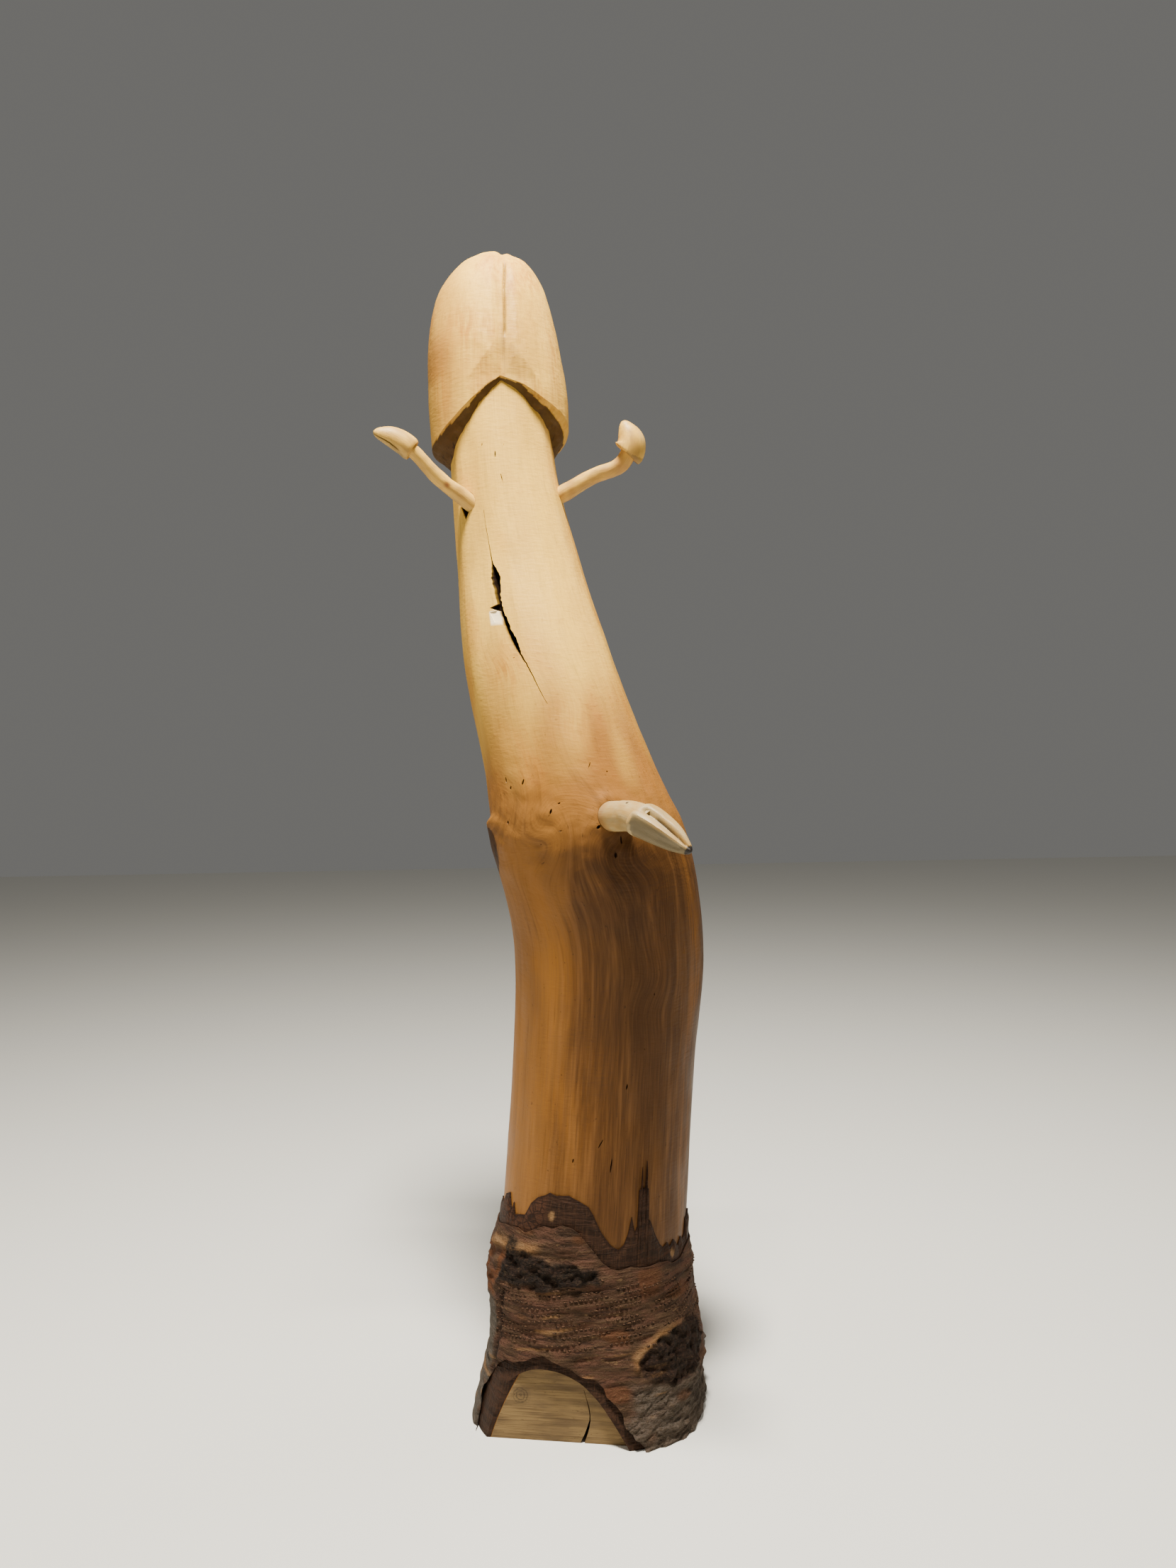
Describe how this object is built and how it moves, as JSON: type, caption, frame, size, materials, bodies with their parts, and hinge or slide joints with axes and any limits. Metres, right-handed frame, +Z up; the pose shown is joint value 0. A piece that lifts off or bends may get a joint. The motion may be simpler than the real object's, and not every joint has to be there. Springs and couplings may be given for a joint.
{
  "type": "carved log figure",
  "caption": "Tall leaning figure carved from one log with the bark left on at the foot, a domed and rimmed head, and short carved arms plugged into sockets.",
  "frame": {"origin": "on the sawn resting face, under the middle of the foot", "axes": "+Z up along the log's height, -Y towards the front where the saw cut and the lower arm are, +X to the viewer's right"},
  "size_m": [0.2981, 0.3083, 1.108],
  "materials": {
    "log_wood": "satin",
    "inner_bark": "matte",
    "outer_bark": "matte",
    "arm_wood": "satin"
  },
  "bodies": {
    "log": {"carved_log": "log_wood", "inner_bark": "inner_bark", "outer_bark": "outer_bark"},
    "left_arm": {"left_arm": "arm_wood"},
    "right_arm": {"right_arm": "arm_wood"},
    "lower_arm": {"lower_arm": "arm_wood"}
  },
  "joints": [
    {"name": "left_arm_peg", "type": "slide", "parent": "log", "child": "left_arm", "axis": [-0.7417, -0.3857, 0.5488], "range_m": [0, 0.042]},
    {"name": "right_arm_peg", "type": "slide", "parent": "log", "child": "right_arm", "axis": [0.8718, -0.274, 0.406], "range_m": [0, 0.042]},
    {"name": "lower_arm_peg", "type": "slide", "parent": "log", "child": "lower_arm", "axis": [0.4374, -0.8988, 0.03], "range_m": [0, 0.052]}
  ]
}
